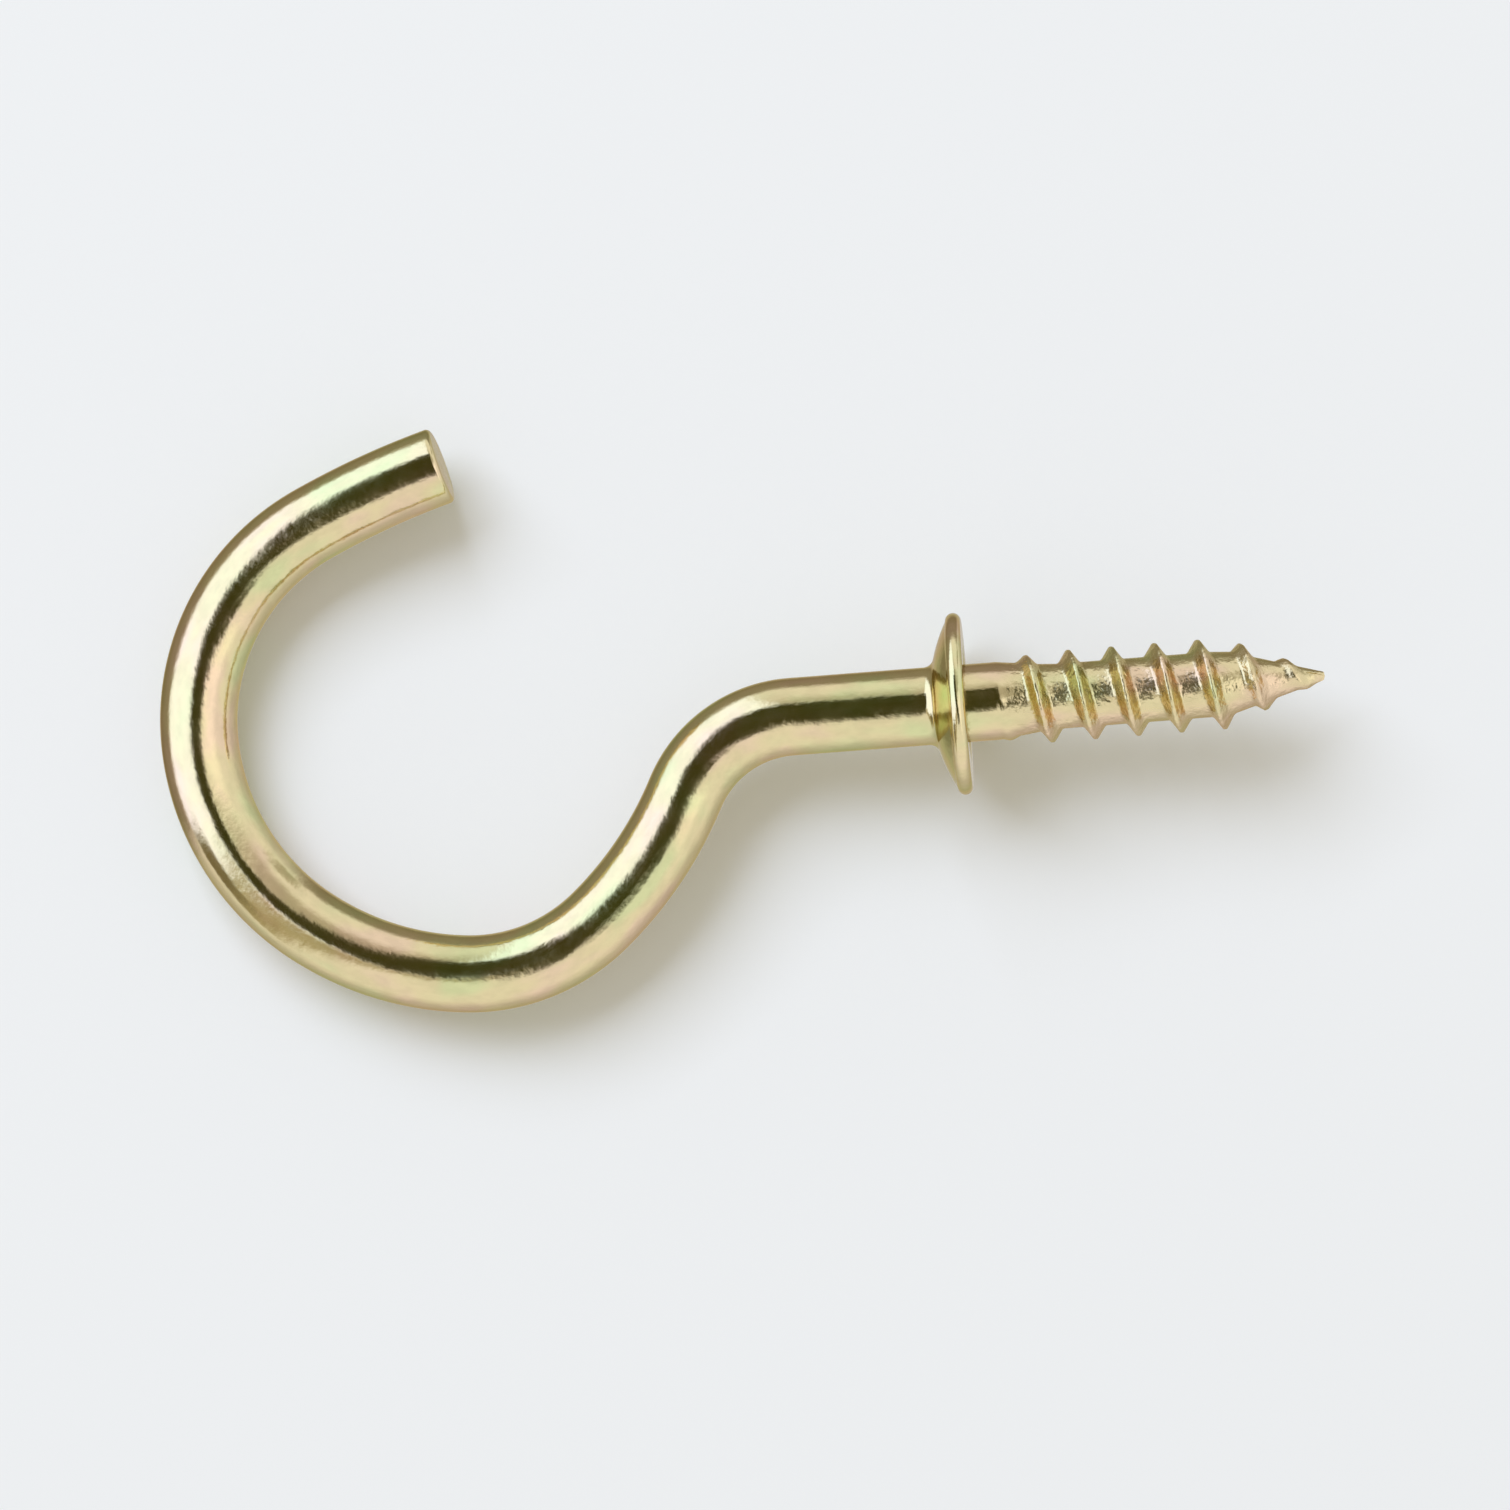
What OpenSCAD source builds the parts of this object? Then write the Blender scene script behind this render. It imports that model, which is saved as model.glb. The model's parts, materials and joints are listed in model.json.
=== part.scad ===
// Shouldered cup hook, cold formed from one length of round wire.
// The free end is bent into an open bowl, the collar is upset from the wire, and the other
// end is rolled into a wood-screw thread with a gimlet point.
// It lies at rest on the plane Z = 0, on the edge of its collar and the back of its bowl,
// with the screw towards +X. Lengths are in millimetres, angles in degrees.

/* [Wire] */
// Diameter of the wire
wire_d = 3; // [2.6:0.1:3.6]
// Straight shank, from the collar's seat to the neck
shank_l = 6.8; // [4:0.1:12]
// Bevel round the cut end
cut_bevel = 0.2; // [0.1:0.05:0.5]

/* [Bends, with each radius at the wire's centre] */
// Radius of the neck, which turns off the shank's line
neck_r = 4.8; // [3:0.1:8]
// Angle of the neck
neck_turn = 63; // [50:0.5:76]
// Radius of the throat, from the neck down into the bowl
throat_r = 15; // [10:0.5:25]
// Angle of the throat
throat_turn = 23; // [15:0.5:28]
// Radius of the heel, where the throat meets the bowl's sole
heel_r = 7.2; // [5:0.1:10]
// Angle of the heel
heel_turn = 45; // [35:0.5:54]
// Radius of the sole
sole_r = 11.4; // [8:0.1:15]
// Angle of the sole
sole_turn = 32; // [25:0.5:39]
// Radius of the back, on the side away from the screw
back_r = 9.6; // [7:0.1:13]
// Angle of the back
back_turn = 51; // [40:0.5:62]
// Radius of the crown, over the bowl's far side
crown_r = 8.7; // [6:0.1:12]
// Angle of the crown
crown_turn = 67; // [50:0.5:81]
// Radius of the nose, which ends at the mouth
nose_r = 32; // [20:0.5:60]
// Angle of the nose
nose_turn = 10; // [5:0.5:15]

/* [Collar] */
// Diameter of the collar
collar_d = 7; // [5.8:0.1:10]
// Thickness of the collar's round rim
rim_t = 0.6; // [0.4:0.05:1]
// Height of the dome above the rim, at the wire
dome_h = 0.65; // [0.3:0.05:1.2]
// Fillet between the dome and the wire
fillet_r = 0.4; // [0.2:0.05:0.8]
// Width of the flat seat round the collar's edge
seat_w = 0.9; // [0.5:0.05:1.2]
// Depth of the hollow inside the seat
hollow_h = 0.12; // [0.05:0.01:0.3]

/* [Screw] */
// Length of the screw, from the seat to the point
screw_l = 13.7; // [10:0.1:25]
// Plain length below the seat
plain_l = 1.2; // [0.8:0.1:4]
// Diameter over the thread's crests
thread_d = 3.5; // [3.2:0.1:4.4]
// Height of the thread, from root to crest
thread_h = 0.5; // [0.3:0.05:0.6]
// Pitch of the thread
pitch = 1.65; // [1.3:0.05:2.4]
// Width of the crest
crest_w = 0.12; // [0.06:0.01:0.25]
// Length of each flank, along the screw
flank_l = 0.42; // [0.2:0.01:0.5]
// Length in which the root falls from the plain shank to its full depth
run_out_l = 2; // [0.5:0.1:3]
// Length in which the crest rises to its full height
lead_in_l = 1.7; // [0.5:0.1:3]
// Distance of the crests on the +Y side from a whole number of pitches
crest_offset = 0.64; // [0:0.01:1.2]
// Length of the tapered gimlet point
point_l = 3.75; // [2:0.05:6]
// Diameter of the blunt tip
tip_d = 0.3; // [0.1:0.05:0.5]

/* [Rest] */
// Direction in which the resting hook slopes up, from the shank's line
rest_slope = 15.8; // [0:0.1:40]

/* [Hidden] */
$fn = 96;

wire_r = wire_d / 2;
collar_r = collar_d / 2;
thread_r = thread_d / 2;
root_r = thread_r - thread_h;
tip_r = tip_d / 2;

// Bends in order from the shank to the mouth: [radius, turn], with a left turn positive
BENDS = [
    [neck_r, neck_turn],
    [throat_r, -throat_turn],
    [heel_r, -heel_turn],
    [sole_r, -sole_turn],
    [back_r, -back_turn],
    [crown_r, -crown_turn],
    [nose_r, -nose_turn],
];

// A place on the wire's centre line is [x, y, heading], with the seat's centre at the origin
function bend_centre(place, bend) =
    [place.x, place.y] + sign(bend[1]) * bend[0] * [-sin(place.z), cos(place.z)];
function past_bend(place, bend) =
    let (heading = place.z + bend[1])
    concat(
        bend_centre(place, bend) + sign(bend[1]) * bend[0] * [sin(heading), -cos(heading)],
        heading
    );
function before_bend(i) =
    i == 0 ? [-shank_l, 0, 180] : past_bend(before_bend(i - 1), BENDS[i - 1]);

WIRE_END = before_bend(len(BENDS));

// Places a degree or so apart along all the bends
BEND_STEPS = 60;
WIRE_LINE = [
    for (i = [0 : len(BENDS) - 1], step = [0 : BEND_STEPS])
    past_bend(before_bend(i), [BENDS[i][0], BENDS[i][1] * step / BEND_STEPS])
];

// Moves a shape in two steps, so that the fine part of the move keeps all its digits
module move_to(p) {
    coarse = [for (v = p) round(v * 100) / 100];
    translate(coarse) translate(p - coarse) children();
}

module bend(i) {
    place = before_bend(i);
    turn = BENDS[i][1];
    start = turn > 0 ? place.z - 90 : place.z + 90 + turn;
    move_to(bend_centre(place, BENDS[i]))
    rotate_extrude(start = start, angle = abs(turn))
    translate([BENDS[i][0], 0])
    circle(r = wire_r);
}

// What the bevel takes off the cut end. Its cone starts outside the wire and crosses its surface.
module bevel_waste() {
    translate([WIRE_END.x, WIRE_END.y])
    rotate([0, 90, WIRE_END.z])
    translate([0, 0, -2 * cut_bevel])
    difference() {
        cylinder(h = 3 * cut_bevel, r = 2 * wire_r);
        cylinder(h = 3 * cut_bevel, r1 = wire_r + cut_bevel, r2 = wire_r - 2 * cut_bevel);
    }
}

module wire() {
    difference() {
        union() {
            translate([-shank_l, 0]) rotate([0, 90, 0]) cylinder(h = shank_l + plain_l, r = wire_r);
            for (i = [0 : len(BENDS) - 1]) bend(i);
        }
        bevel_waste();
    }
}

// The collar's section has its seat at y = 0 and its dome towards -y.
// The dome is part of a sphere from the rim's crest to its full height at the wire.
rim_centre_r = collar_r - rim_t / 2;
dome_top = -rim_t - dome_h;
dome_centre = (wire_r ^ 2 + dome_top ^ 2 - rim_centre_r ^ 2 - rim_t ^ 2) / (2 * (dome_top + rim_t));
dome_r = norm([wire_r, dome_top - dome_centre]);
fillet_centre = [wire_r + fillet_r, dome_centre - sqrt((dome_r + fillet_r) ^ 2 - (wire_r + fillet_r) ^ 2)];
fillet_foot = [0, dome_centre] + (fillet_centre - [0, dome_centre]) * dome_r / (dome_r + fillet_r);

module collar_section() {
    translate([0, -rim_t]) square([rim_centre_r, rim_t]);
    translate([rim_centre_r, -rim_t / 2]) circle(d = rim_t);
    intersection() {
        translate([0, dome_centre]) circle(r = dome_r);
        translate([0, 2 * dome_top]) square([rim_centre_r + rim_t / 4, -2 * dome_top - rim_t / 2]);
    }
    difference() {
        translate([0, fillet_centre.y]) square([fillet_foot.x, fillet_foot.y - fillet_centre.y]);
        translate(fillet_centre) circle(r = fillet_r);
    }
}

module collar() {
    rotate([0, 90, 0])
    difference() {
        rotate_extrude() collar_section();
        translate([0, 0, -hollow_h]) cylinder(h = hollow_h, r1 = wire_r, r2 = rim_centre_r - seat_w);
    }
}

// The thread's surface is a lattice of lines along the screw. Each line is shifted by its
// share of the pitch, and has THREAD_SECTION's points in every pitch, so the crest and the
// foot of each flank run along rows of the lattice.
LINES = 36;
// Where a straight flank meets its foot: [share of the flank's length, share of the thread's height]
FOOT = [0.65, 0.15];
// One pitch of the section: [distance along the screw, share of the thread's height]
THREAD_SECTION = [
    [0, 1],
    [crest_w, 1],
    [crest_w + FOOT.x * flank_l, FOOT.y],
    [crest_w + flank_l, 0],
    [pitch - flank_l, 0],
    [pitch - FOOT.x * flank_l, FOOT.y],
];
ROWS_PER_PITCH = len(THREAD_SECTION);
ROWS = ROWS_PER_PITCH * ceil(screw_l / pitch + 2);
// The lattice starts a little inside the plain shank, and a little smaller
SHANK_OVERLAP = 0.1;
SHANK_STEP = 0.03;
thread_start = plain_l - SHANK_OVERLAP;
// Points this near the thread's ends are drawn into the first ring or the tip
END_MARGIN = 0.12;

function share(x, from, length) = min(max((x - from) / length, 0), 1);
function mix(a, b, t) = a + (b - a) * t;
function root_at(x) =
    mix(mix(wire_r - SHANK_STEP, root_r, share(x, plain_l, run_out_l)), tip_r,
        share(x, screw_l - point_l, point_l));
function crest_at(x) =
    mix(mix(wire_r - SHANK_STEP, thread_r, share(x, plain_l, lead_in_l)), tip_r,
        share(x, screw_l - point_l, point_l));
function lattice_x(line, row) =
    crest_offset + pitch * (line / LINES + floor(row / ROWS_PER_PITCH) - 1)
    + THREAD_SECTION[row % ROWS_PER_PITCH][0];
function lattice_r(x, row) = mix(root_at(x), crest_at(x), THREAD_SECTION[row % ROWS_PER_PITCH][1]);
function on_screw(x, r, line) = [x, r * cos(360 * line / LINES), r * sin(360 * line / LINES)];
// The first LINES points are the first ring, the next is the tip, and the lattice follows
function point_index(line, row) =
    line == LINES ? point_index(0, row + ROWS_PER_PITCH)
    : lattice_x(line, row) < thread_start + 2 * END_MARGIN ? line
    : lattice_x(line, row) > screw_l - END_MARGIN ? LINES
    : LINES + 1 + line * ROWS + row;
function is_triangle(f) = f[0] != f[1] && f[1] != f[2] && f[2] != f[0];

module thread() {
    points = [
        for (line = [0 : LINES - 1]) on_screw(thread_start, wire_r - SHANK_STEP, line),
        [screw_l, 0, 0],
        for (line = [0 : LINES - 1], row = [0 : ROWS - 1])
        let (x = lattice_x(line, row))
        on_screw(x, lattice_r(x, row), line),
    ];
    triangles = [
        for (line = [0 : LINES - 1], row = [0 : ROWS - ROWS_PER_PITCH - 2])
        let (
            a = point_index(line, row),
            b = point_index(line + 1, row),
            c = point_index(line + 1, row + 1),
            d = point_index(line, row + 1)
        )
        each [[a, d, c], [a, c, b]],
    ];
    polyhedron(
        points = points,
        faces = concat([[for (line = [0 : LINES - 1]) line]], [for (t = triangles) if (is_triangle(t)) t])
    );
}

// At rest the wire's plane slopes up from the back of the bowl to the collar
slope = [cos(rest_slope), sin(rest_slope)];
reach = max([for (p = WIRE_LINE) -(p.x * slope.x + p.y * slope.y)]);
rest_tilt = asin((collar_r - wire_r) / (reach - rim_t / 2 * slope.x));
seat_height = wire_r + reach * sin(rest_tilt);
function seen_from_above(p) = p + (cos(rest_tilt) - 1) * (p * slope) * slope;
PLAN = [for (p = WIRE_LINE) seen_from_above([p.x, p.y])];
middle = [
    (min([for (p = PLAN) p.x]) - wire_r + seen_from_above([screw_l, 0]).x) / 2,
    (min([for (p = PLAN) p.y]) + max([for (p = PLAN) p.y])) / 2,
];

module cup_hook() {
    color("khaki")
    translate([-middle.x, -middle.y, seat_height])
    rotate(a = rest_tilt, v = [slope.y, -slope.x, 0])
    union() {
        wire();
        collar();
        thread();
    }
}

cup_hook();
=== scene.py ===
"""The looks of a shouldered cup hook: one yellow-plated wire, bent, collared and threaded.

The hook lies at rest on a pale floor and the camera looks straight down on it.
"""
import json
from math import atan2, ceil, cos, degrees, floor, hypot, pi, radians, sin, sqrt

import bpy
from mathutils import Matrix, Vector


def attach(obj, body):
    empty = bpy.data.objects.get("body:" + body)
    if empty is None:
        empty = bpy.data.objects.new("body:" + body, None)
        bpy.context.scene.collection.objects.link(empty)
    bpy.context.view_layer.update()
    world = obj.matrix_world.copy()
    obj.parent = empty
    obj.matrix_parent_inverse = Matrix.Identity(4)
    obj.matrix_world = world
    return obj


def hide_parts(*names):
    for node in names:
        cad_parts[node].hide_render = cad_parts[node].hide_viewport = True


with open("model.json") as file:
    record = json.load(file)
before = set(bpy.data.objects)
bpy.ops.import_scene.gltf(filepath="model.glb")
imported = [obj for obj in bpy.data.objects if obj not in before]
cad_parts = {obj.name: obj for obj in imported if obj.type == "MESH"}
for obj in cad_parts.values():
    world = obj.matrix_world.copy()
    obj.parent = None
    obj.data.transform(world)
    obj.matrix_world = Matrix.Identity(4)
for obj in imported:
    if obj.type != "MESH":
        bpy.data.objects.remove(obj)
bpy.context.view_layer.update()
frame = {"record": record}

MM = 0.001

# The hook's own sizes in millimetres, the same as in the part
WIRE_R = 1.5
SHANK_L = 6.8
# Bends from the shank to the mouth: (radius at the wire's centre, turn in degrees, left positive)
BENDS = ((4.8, 63), (15, -23), (7.2, -45), (11.4, -32), (9.6, -51), (8.7, -67), (32, -10))
CUT_EDGE_R = 0.2
COLLAR_R = 3.5
RIM_T = 0.6
DOME_H = 0.65
FILLET_R = 0.4
SEAT_W = 0.9
HOLLOW_H = 0.12
SCREW_L = 13.7
PLAIN_L = 1.2
THREAD_R = 1.75
ROOT_R = 1.25
PITCH = 1.65
CREST_W = 0.12
FLANK_L = 0.42
RUN_OUT_L = 2
LEAD_IN_L = 1.7
CREST_OFFSET = 0.64
POINT_L = 3.75
TIP_R = 0.15

# The crest's edges, and the knee where a flank turns hollow, as shares of the thread's height
CREST_EDGE_H = 0.97
KNEE_H = 0.25
# The knee's place as a share of the flank's length
KNEE_AT = 0.57

# How finely the surface is divided
SIDES = 96
STEP_L = 0.2
FACE_STEPS = 12
CUT_EDGE_STEPS = 9
FILLET_STEPS = 10
DOME_STEPS = 16
RIM_STEPS = 18
SEAT_STEPS = 4
HOLLOW_STEPS = 4
PLAIN_STEPS = 8
FLANK_STEPS = 9
# A point of the thread that is nearer than this to either end of the thread is merged with that end
END_MARGIN = 0.03
# Faces that meet at more than this many degrees keep their edge sharp
SHARP_EDGE = 38


# ---------------------------------------------------------------- the hook's place

mounts = {m["name"]: m for m in frame["record"]["mounts"]}
seat = Vector(mounts["collar_face"]["pos_m"])
along_screw = Vector(mounts["collar_face"]["axis"]).normalized()
out_of_bowl = Vector(mounts["hook_bight"]["axis"]).normalized()
across = out_of_bowl.cross(along_screw)
# From the hook's own axes in millimetres, with the seat's centre at zero and +X along the screw
HOOK_TO_FRAME = (
    Matrix.Translation(seat)
    @ Matrix((along_screw, across, out_of_bowl)).transposed().to_4x4()
    @ Matrix.Scale(MM, 4)
)


# ---------------------------------------------------------------- the surface

def mix(a, b, t):
    return a + (b - a) * t


def share(x, start, length):
    """How far x is along a stretch, from 0 at its start to 1 at its end."""
    return min(max((x - start) / length, 0), 1)


def arc(cx, cr, radius, start, end, steps):
    """Points (x, r) of an arc, with its angles measured from +x towards +r."""
    angles = (radians(mix(start, end, k / steps)) for k in range(steps + 1))
    return [(cx + radius * cos(a), cr + radius * sin(a)) for a in angles]


def segment(start, end, steps):
    """Points (x, r) from the start, which is left out, straight to the end."""
    shares = (k / steps for k in range(1, steps + 1))
    return [(mix(start[0], end[0], t), mix(start[1], end[1], t)) for t in shares]


def wire_path():
    """Places along the bent wire's centre from the shank to the mouth: (x, y, heading, distance)."""
    x, y, heading, run = -SHANK_L, 0.0, 180.0, 0.0
    path = [(x, y, heading, run)]
    for radius, turn in BENDS:
        side = 1 if turn > 0 else -1
        cx = x - side * radius * sin(radians(heading))
        cy = y + side * radius * cos(radians(heading))
        length = radius * radians(abs(turn))
        steps = ceil(length / STEP_L)
        for k in range(1, steps + 1):
            h = heading + turn * k / steps
            path.append((
                cx + side * radius * sin(radians(h)),
                cy - side * radius * cos(radians(h)),
                h,
                run + length * k / steps,
            ))
        x, y, heading, run = path[-1]
    return path


def collar_profile():
    """Points (x, r) from the shank over the collar's fillet, dome, rim, seat and hollow to the thread."""
    rim_centre = COLLAR_R - RIM_T / 2
    # The dome is an arc about a point on the axis, from the wire's surface at dome_x to the rim
    dome_x = -RIM_T - DOME_H
    dome_centre = (WIRE_R**2 + dome_x**2 - rim_centre**2 - RIM_T**2) / (2 * (dome_x + RIM_T))
    dome_r = hypot(WIRE_R, dome_x - dome_centre)
    fillet_r = WIRE_R + FILLET_R
    fillet_x = dome_centre - sqrt((dome_r + FILLET_R) ** 2 - fillet_r**2)
    # Angles at the dome's centre, from the axis to where the dome meets the fillet and the rim
    foot = degrees(atan2(fillet_r, fillet_x - dome_centre))
    brow = degrees(atan2(rim_centre, -RIM_T - dome_centre))
    seat_outside, seat_inside = (0, rim_centre), (0, rim_centre - SEAT_W)
    hollow_bottom, plain_end = (-HOLLOW_H, WIRE_R), (PLAIN_L, WIRE_R)
    return (
        arc(fillet_x, fillet_r, FILLET_R, 270, foot + 180, FILLET_STEPS)
        + arc(dome_centre, 0, dome_r, foot, brow, DOME_STEPS)[1:]
        + arc(-RIM_T / 2, rim_centre, RIM_T / 2, 180, 0, RIM_STEPS)[1:]
        + segment(seat_outside, seat_inside, SEAT_STEPS)
        + segment(seat_inside, hollow_bottom, HOLLOW_STEPS)
        + segment(hollow_bottom, plain_end, PLAIN_STEPS)
    )


def thread_section():
    """One pitch of the thread: (distance along the screw, share of the thread's height)."""
    crest = [(0, CREST_EDGE_H), (0.25, 1), (0.75, 1), (1, CREST_EDGE_H)]
    flank = []
    for k in range(1, FLANK_STEPS + 1):
        t = k / FLANK_STEPS
        if t < KNEE_AT:
            height = 1 - (1 - KNEE_H) * t / KNEE_AT
        else:
            height = KNEE_H * ((1 - t) / (1 - KNEE_AT)) ** 2
        flank.append((t, height * CREST_EDGE_H))
    falling = [(CREST_W + FLANK_L * t, height) for t, height in flank]
    rising = [(PITCH - FLANK_L * t, height) for t, height in reversed(flank)]
    return [(CREST_W * t, height) for t, height in crest] + falling + rising


def screw_radius(x, height):
    """The radius at x where the thread stands at a share of its full height."""
    point = share(x, SCREW_L - POINT_L, POINT_L)
    root = mix(mix(WIRE_R, ROOT_R, share(x, PLAIN_L, RUN_OUT_L)), TIP_R, point)
    crest = mix(mix(WIRE_R, THREAD_R, share(x, PLAIN_L, LEAD_IN_L)), TIP_R, point)
    return mix(root, crest, height)


class Skin:
    """A surface of points around the wire, with the place that each has on the wire drawn out straight."""

    def __init__(self):
        self.points, self.straight, self.faces = [], [], []

    def add(self, place, straight):
        self.points.append(place)
        self.straight.append(straight)
        return len(self.points) - 1

    def ring(self, x, y, heading, r, run):
        """A ring of SIDES points across the wire, which travels towards the heading."""
        out_x, out_y = -sin(radians(heading)), cos(radians(heading))
        ring = []
        for k in range(SIDES):
            c, s = r * cos(2 * pi * k / SIDES), r * sin(2 * pi * k / SIDES)
            ring.append(self.add((x + out_x * c, y + out_y * c, s), (run, c, s)))
        return ring

    def close(self, middle, ring):
        """A flat face of triangles between a ring and the point in its middle."""
        for k in range(SIDES):
            self.faces.append((middle, ring[(k + 1) % SIDES], ring[k]))

    def chain(self, rings):
        """Faces between each ring and the next. It returns the last ring."""
        for a, b in zip(rings, rings[1:]):
            for k in range(SIDES):
                n = (k + 1) % SIDES
                self.faces.append((a[k], a[n], b[n], b[k]))
        return rings[-1]


def cut_end(skin, path):
    """The cut face, closed at its middle, and its round edge, as rings from the middle outwards."""
    end_x, end_y, heading, length = path[-1]
    end_run = -SHANK_L - length
    back = heading + 180
    # Places on the end: (depth below the cut face, radius)
    face = [(0, (WIRE_R - CUT_EDGE_R) * k / FACE_STEPS) for k in range(1, FACE_STEPS + 1)]
    angles = (radians(90 * k / CUT_EDGE_STEPS) for k in range(1, CUT_EDGE_STEPS + 1))
    edge = [(CUT_EDGE_R * (1 - cos(a)), WIRE_R - CUT_EDGE_R * (1 - sin(a))) for a in angles]
    rings = []
    for depth, r in face + edge:
        x = end_x + depth * cos(radians(back))
        y = end_y + depth * sin(radians(back))
        rings.append(skin.ring(x, y, back, r, end_run + depth))
    skin.close(skin.add((end_x, end_y, 0), (end_run, 0, 0)), rings[0])
    return rings


def bent_wire(skin, path):
    """Rings along the bends, from just below the cut end's round edge to the shank."""
    last_run = path[-1][3] - CUT_EDGE_R - STEP_L / 2
    return [
        skin.ring(x, y, heading + 180, WIRE_R, -SHANK_L - run)
        for x, y, heading, run in reversed(path)
        if run < last_run
    ]


def shank_and_collar(skin):
    """Rings along the straight shank and over the collar to the thread."""
    profile = collar_profile()
    collar_start = profile[0][0]
    steps = ceil((SHANK_L + collar_start) / STEP_L)
    shank = [(mix(-SHANK_L, collar_start, k / steps), WIRE_R) for k in range(1, steps)]
    return [skin.ring(x, 0, 0, r, x) for x, r in shank + profile]


def wire_and_collar(skin):
    """The wire from the cut end to the thread. It returns the ring where the thread starts."""
    path = wire_path()
    return skin.chain(cut_end(skin, path) + bent_wire(skin, path) + shank_and_collar(skin))


def thread(skin, start):
    """The screw below its plain length: lines along the screw, each shifted by its share of the pitch."""
    section = thread_section()
    # Enough turns for every line to pass both ends. What lies past an end is merged with it
    rows = len(section) * ceil(SCREW_L / PITCH + 2)
    tip = skin.add((SCREW_L, 0, 0), (SCREW_L, 0, 0))

    def lattice_x(line, row):
        turn = line / SIDES + floor(row / len(section)) - 1
        return CREST_OFFSET + PITCH * turn + section[row % len(section)][0]

    def point(line, row):
        x = lattice_x(line, row)
        if x < PLAIN_L + END_MARGIN:
            return start[line]
        if x > SCREW_L - END_MARGIN:
            return tip
        r = screw_radius(x, section[row % len(section)][1])
        c, s = r * cos(2 * pi * line / SIDES), r * sin(2 * pi * line / SIDES)
        return skin.add((x, c, s), (x, c, s))

    lattice = [[point(line, row) for row in range(rows)] for line in range(SIDES)]
    # The last line meets the first, one pitch further on
    lattice.append(lattice[0][len(section):] + [tip] * len(section))
    for line in range(SIDES):
        for row in range(rows - 1):
            a, b = lattice[line][row], lattice[line + 1][row]
            c, d = lattice[line + 1][row + 1], lattice[line][row + 1]
            corners = list(dict.fromkeys((a, b, c, d)))
            if len(corners) > 2:
                skin.faces.append(tuple(corners))


def hook_mesh():
    skin = Skin()
    thread(skin, wire_and_collar(skin))
    mesh = bpy.data.meshes.new("plated_wire")
    mesh.from_pydata([HOOK_TO_FRAME @ Vector(p) for p in skin.points], [], skin.faces)
    straight = mesh.attributes.new("straight_mm", "FLOAT_VECTOR", "POINT")
    for value, place in zip(straight.data, skin.straight):
        value.vector = place
    mesh.validate()
    mesh.polygons.foreach_set("use_smooth", [True] * len(mesh.polygons))
    mesh.set_sharp_from_angle(angle=radians(SHARP_EDGE))
    return mesh


# ---------------------------------------------------------------- materials

# The plating's colour as its thickness drifts: (place on the drift, colour)
PLATING = (
    (0.36, (0.77, 0.77, 0.41)),
    (0.48, (0.85, 0.735, 0.42)),
    (0.55, (0.87, 0.725, 0.425)),
    (0.66, (0.91, 0.69, 0.47)),
)
EDGE_TINT = (0.62, 0.55, 0.38)
BLOTCH_SHADE = 0.93

# How deep each kind of unevenness is, in millimetres
LINE_DEPTH = 0.0015
GRAIN_DEPTH = 0.006
SKIN_DEPTH = 0.012
WAVE_DEPTH = 0.2
ROLLED_DEPTH = 0.06

# The roughness of smooth wire, and what the lines, the skin and the rolled thread add to it
SMOOTH = 0.10
LINES_ROUGHER = 0.04
SKIN_ROUGHER = 0.04
ROLLED_ROUGHER = 0.11
# The length over which the rolled thread's skin begins
ROLLED_FADE_L = 1

FLOOR = (0.845, 0.86, 0.868)


class Nodes:
    """A short way to build a node tree."""

    def __init__(self, tree):
        self.tree = tree
        tree.nodes.clear()

    def add(self, kind, inputs=None, **settings):
        node = self.tree.nodes.new(kind)
        for name, value in settings.items():
            setattr(node, name, value)
        for name, value in (inputs or {}).items():
            if isinstance(value, bpy.types.NodeSocket):
                self.tree.links.new(value, node.inputs[name])
            else:
                node.inputs[name].default_value = value
        return node

    def math(self, operation, a, b=0.0, c=0.0):
        return self.add("ShaderNodeMath", {0: a, 1: b, 2: c}, operation=operation).outputs[0]

    def mix(self, under, mask, over, blend="MIX"):
        """The first colour where the mask is 0, blended with the second as the mask goes to 1."""
        return self.add(
            "ShaderNodeMix", {"Factor": mask, "A": under, "B": over}, data_type="RGBA", blend_type=blend
        ).outputs["Result"]

    def grey(self, value):
        return self.add(
            "ShaderNodeCombineColor", {"Red": value, "Green": value, "Blue": value}
        ).outputs["Color"]

    def ramp(self, value, stops):
        ramp = self.add("ShaderNodeValToRGB", {"Fac": value})
        elements = ramp.color_ramp.elements
        while len(elements) < len(stops):
            elements.new(0.5)
        for element, (position, colour) in zip(elements, stops):
            element.position = position
            element.color = (*colour, 1)
        return ramp.outputs["Color"]

    def band(self, value, low, high, to_low=0.0, to_high=1.0):
        """Carries value from the range low to high into the range to_low to to_high, smoothly."""
        return self.add(
            "ShaderNodeMapRange",
            {"Value": value, "From Min": low, "From Max": high, "To Min": to_low, "To Max": to_high},
            interpolation_type="SMOOTHSTEP",
        ).outputs["Result"]


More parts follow.
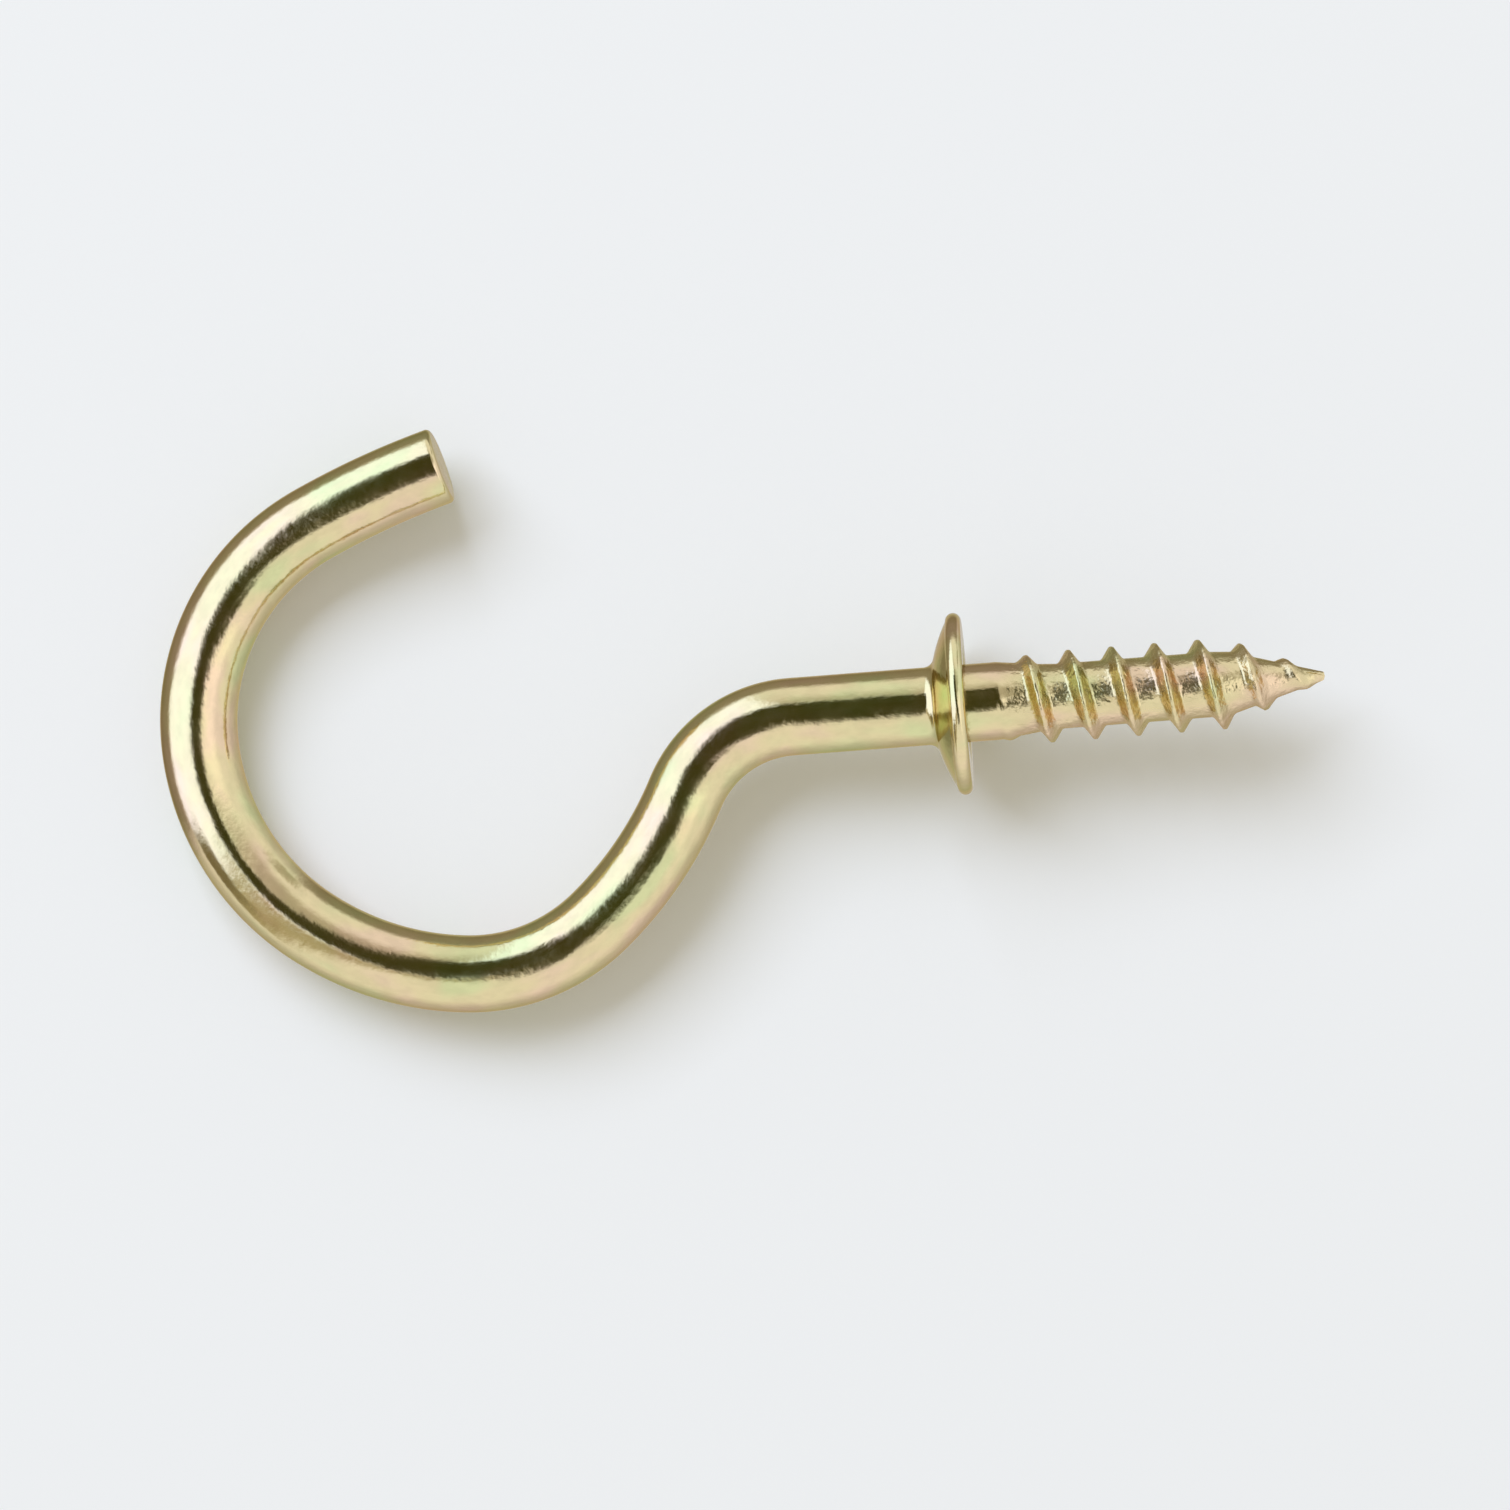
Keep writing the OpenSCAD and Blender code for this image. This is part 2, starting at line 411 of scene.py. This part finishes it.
def plated_steel():
    """Yellow plating on drawn wire: pale gold that drifts to green and pink, with fine lines."""
    material = bpy.data.materials.new("plated_steel")
    material.use_nodes = True
    n = Nodes(material.node_tree)
    straight = n.add("ShaderNodeAttribute", attribute_name="straight_mm").outputs["Vector"]

    def noise(scale, detail, stretch=(1, 1, 1), shift=0.0):
        """Noise on the straight wire, with its scale per millimetre. The shift sets it apart."""
        place = n.add(
            "ShaderNodeMapping", {"Vector": straight, "Scale": stretch, "Location": (shift, shift, shift)}
        ).outputs["Vector"]
        return n.add(
            "ShaderNodeTexNoise", {"Vector": place, "Scale": scale, "Detail": detail}
        ).outputs["Fac"]

    drift = noise(0.55, 2, (0.5, 1, 1))
    blotch = noise(2.2, 4, (0.6, 1, 1), 7.0)
    lines = noise(5.0, 3, (0.04, 1, 1), 3.0)
    skin = noise(1.6, 3, (0.7, 1, 1), 11.0)
    grain = noise(4.5, 2, (0.8, 1, 1), 17.0)
    wave = noise(0.16, 0, (1, 1, 1), 5.0)
    rolled = noise(3.2, 2, (1, 1, 1), 29.0)
    along = n.add("ShaderNodeSeparateXYZ", {0: straight}).outputs["X"]
    on_thread = n.band(along, PLAIN_L, PLAIN_L + ROLLED_FADE_L)

    shade = n.grey(n.band(blotch, 0.35, 0.7, 1.0, BLOTCH_SHADE))
    colour = n.mix(n.ramp(drift, PLATING), 1.0, shade, "MULTIPLY")

    roughness = n.band(lines, 0.3, 0.7, SMOOTH, SMOOTH + LINES_ROUGHER)
    roughness = n.math("ADD", roughness, n.band(skin, 0.3, 0.7, 0.0, SKIN_ROUGHER))
    roughness = n.math("MULTIPLY_ADD", on_thread, ROLLED_ROUGHER, roughness)

    relief = n.math("MULTIPLY", rolled, n.math("MULTIPLY", on_thread, ROLLED_DEPTH))
    for height, depth in (
        (skin, SKIN_DEPTH), (lines, LINE_DEPTH), (grain, GRAIN_DEPTH), (wave, WAVE_DEPTH)
    ):
        relief = n.math("MULTIPLY_ADD", height, depth, relief)
    bump = n.add("ShaderNodeBump", {"Height": relief, "Strength": 1.0, "Distance": MM})

    shader = n.add("ShaderNodeBsdfPrincipled", {
        "Base Color": colour,
        "Metallic": 1.0,
        "Specular Tint": (*EDGE_TINT, 1),
        "Roughness": roughness,
        "Normal": bump.outputs["Normal"],
    })
    n.add("ShaderNodeOutputMaterial", {"Surface": shader.outputs["BSDF"]})
    return material


def floor_material():
    material = bpy.data.materials.new("floor")
    material.use_nodes = True
    n = Nodes(material.node_tree)
    shader = n.add("ShaderNodeBsdfPrincipled", {
        "Base Color": (*FLOOR, 1), "Roughness": 0.9, "Specular IOR Level": 0.0,
    })
    n.add("ShaderNodeOutputMaterial", {"Surface": shader.outputs["BSDF"]})
    return material


# ---------------------------------------------------------------- the studio

# The camera's right-hand side in the hook's plan, turned this far from +X
CAMERA_TURN = radians(-4.4)

# What the metal mirrors above the horizon
WALL = (0.87, 0.88, 0.885)
DIM_WALL = (0.50, 0.48, 0.42)
CORNER = (0.45, 0.43, 0.36)
WINDOW = (1.12, 1.12, 1.12)
SOFTBOX = (1.20, 1.36, 1.70)
CEILING = (0.05, 0.048, 0.012)
GAP = (0.42, 0.38, 0.25)
LOW_GAP = (0.20, 0.17, 0.10)
# What it mirrors below the horizon
GROUND = (0.80, 0.80, 0.80)
SHADED_GROUND = (0.60, 0.60, 0.60)
DARK_GROUND = (0.29, 0.27, 0.21)
# What the floor sees mirrored in the metal in place of the dark ground
LIT_GROUND = (1.0, 1.0, 1.0)
# What the floor gets from all around, besides the key lamp
FILL = (0.60, 0.56, 0.47)
# What the camera sees past the floor
PALE = (0.845, 0.855, 0.862)

# How wide the blurred edge of a patch is, in degrees, unless the patch says otherwise
SOFT_EDGE = 8.0


def direction(azimuth, off_zenith):
    """A direction from the object, with its azimuth measured in the picture: 0 is right and 90 is up."""
    a, z = radians(azimuth) + CAMERA_TURN, radians(off_zenith)
    return Vector((sin(z) * cos(a), sin(z) * sin(a), cos(z)))


def sector(low, high, soft=SOFT_EDGE):
    """The two sides of a wedge between two azimuths, with its edge at the zenith."""
    return (low + 90, 0, soft), (high - 90, 0, soft)


# Each patch lies over the ones before it: (colour, its sides). A side is (azimuth, angle, soft edge) in
# degrees, and keeps the directions that lean further than the angle towards the azimuth.
PATCHES = (
    (DIM_WALL, (*sector(35, 112, 14), (251, -44, 24))),
    (CORNER, (*sector(42, 54), (48, 66))),
    (WINDOW, (*sector(-35, 26, 12), (180, -50, 16))),
    (SOFTBOX, sector(113, 213, 6)),
    (CEILING, ((0, -28), (35, -18), (285, -38), (105, -29), (185, -3, 5))),
    (CEILING, ((310, -5), (130, -31), (40, -7), (220, -7))),
    (GAP, ((221, 20, 10), (311, -6.5), (131, -6.5))),
    (LOW_GAP, (*sector(202, 219), (210, 62, 12))),
)
DARK_SECTOR = sector(52, 203, 10)


def mirrored(n, ray):
    """What the metal mirrors: pale walls, a softbox, a window, a dark ceiling and the ground."""
    look = n.add("ShaderNodeTexCoord").outputs["Generated"]
    height = n.add("ShaderNodeSeparateXYZ", {0: look}).outputs["Z"]

    def within(azimuth, angle, soft=SOFT_EDGE):
        """1 where a direction leans further than the angle towards the azimuth, and 0 elsewhere."""
        lean = n.add(
            "ShaderNodeVectorMath", {0: look, 1: direction(azimuth, 90)}, operation="DOT_PRODUCT"
        ).outputs["Value"]
        return n.band(lean, sin(radians(angle - soft / 2)), sin(radians(angle + soft / 2)))

    def region(sides):
        mask = within(*sides[0])
        for side in sides[1:]:
            mask = n.math("MULTIPLY", mask, within(*side))
        return mask

    def below(low, high):
        """0 up to the first angle under the horizon and 1 from the second."""
        return n.band(height, -sin(radians(low)), -sin(radians(high)))

    colour = (*WALL, 1)
    for tint, sides in PATCHES:
        colour = n.mix(colour, region(sides), (*tint, 1))
    # The ground gets darker from the horizon down, and most so on its dark side
    colour = n.mix(colour, below(-1, 6), (*GROUND, 1))
    colour = n.mix(colour, below(4, 30), (*SHADED_GROUND, 1))
    # A ray with a diffuse bounce behind it comes from the floor, and sees lit ground on that side
    from_camera = n.math("LESS_THAN", ray["Diffuse Depth"], 0.5)
    dark_side = n.mix((*LIT_GROUND, 1), from_camera, (*DARK_GROUND, 1))
    colour = n.mix(colour, n.math("MULTIPLY", below(-5, 13), region(DARK_SECTOR)), dark_side)
    # Straight below it is pale again
    return n.mix(colour, below(50, 75), (*GROUND, 1))


def studio_world():
    """The painted surround for the metal, a pale backdrop for the camera, and a plain fill for the floor."""
    world = bpy.data.worlds.new("studio")
    world.use_nodes = True
    bpy.context.scene.world = world
    n = Nodes(world.node_tree)
    ray = n.add("ShaderNodeLightPath").outputs
    shown = n.mix(mirrored(n, ray), ray["Is Camera Ray"], (*PALE, 1))
    sees_it = n.math("MAXIMUM", ray["Is Glossy Ray"], ray["Is Transmission Ray"])
    sees_it = n.math("MAXIMUM", sees_it, ray["Is Camera Ray"])
    background = n.add("ShaderNodeBackground", {"Color": n.mix((*FILL, 1), sees_it, shown)})
    n.add("ShaderNodeOutputWorld", {"Surface": background.outputs["Background"]})


def key_lamp():
    """The softbox's light on the floor. The metal mirrors the softbox itself from the world."""
    distance, width, height, radiance = 2.0, 1.6, 1.2, 5.8
    lamp = bpy.data.lights.new("key", "AREA")
    lamp.shape = "RECTANGLE"
    lamp.size, lamp.size_y = width, height
    lamp.energy = radiance * pi * width * height
    lamp.color = (0.74, 0.82, 1.0)
    light = bpy.data.objects.new("key", lamp)
    towards = direction(128, 44)
    light.location = towards * distance
    light.rotation_euler = towards.to_track_quat("Z", "Y").to_euler()
    light.visible_camera = False
    light.visible_glossy = False
    bpy.context.collection.objects.link(light)


def studio_floor():
    """A wide pale floor. The metal mirrors the world's ground in its place."""
    mesh = bpy.data.meshes.new("floor")
    reach = 4.0
    corners = [(-reach, -reach, 0), (reach, -reach, 0), (reach, reach, 0), (-reach, reach, 0)]
    mesh.from_pydata(corners, [], [(0, 1, 2, 3)])
    mesh.materials.append(floor_material())
    obj = bpy.data.objects.new("floor", mesh)
    obj.visible_glossy = False
    bpy.context.collection.objects.link(obj)


def camera():
    """Looks straight down from 200 mm, with the seat to the right of the picture's middle."""
    height, view_width = 200 * MM, 58.98 * MM
    beside_seat = Vector((-8.264, -1.354)) * MM
    data = bpy.data.cameras.new("camera")
    data.sensor_width = 36
    data.lens = data.sensor_width * height / view_width
    data.clip_start, data.clip_end = 0.01, 20
    obj = bpy.data.objects.new("camera", data)
    obj.location = (seat.x + beside_seat.x, seat.y + beside_seat.y, height)
    obj.rotation_euler = (0, 0, CAMERA_TURN)
    bpy.context.collection.objects.link(obj)
    bpy.context.scene.camera = obj


# ---------------------------------------------------------------- the scene

hook = bpy.data.objects.new("plated_wire", hook_mesh())
hook.data.materials.append(plated_steel())
bpy.context.collection.objects.link(hook)
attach(hook, "root")
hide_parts("cup_hook")

studio_floor()
studio_world()
key_lamp()
camera()
bpy.context.scene.view_settings.view_transform = "Standard"
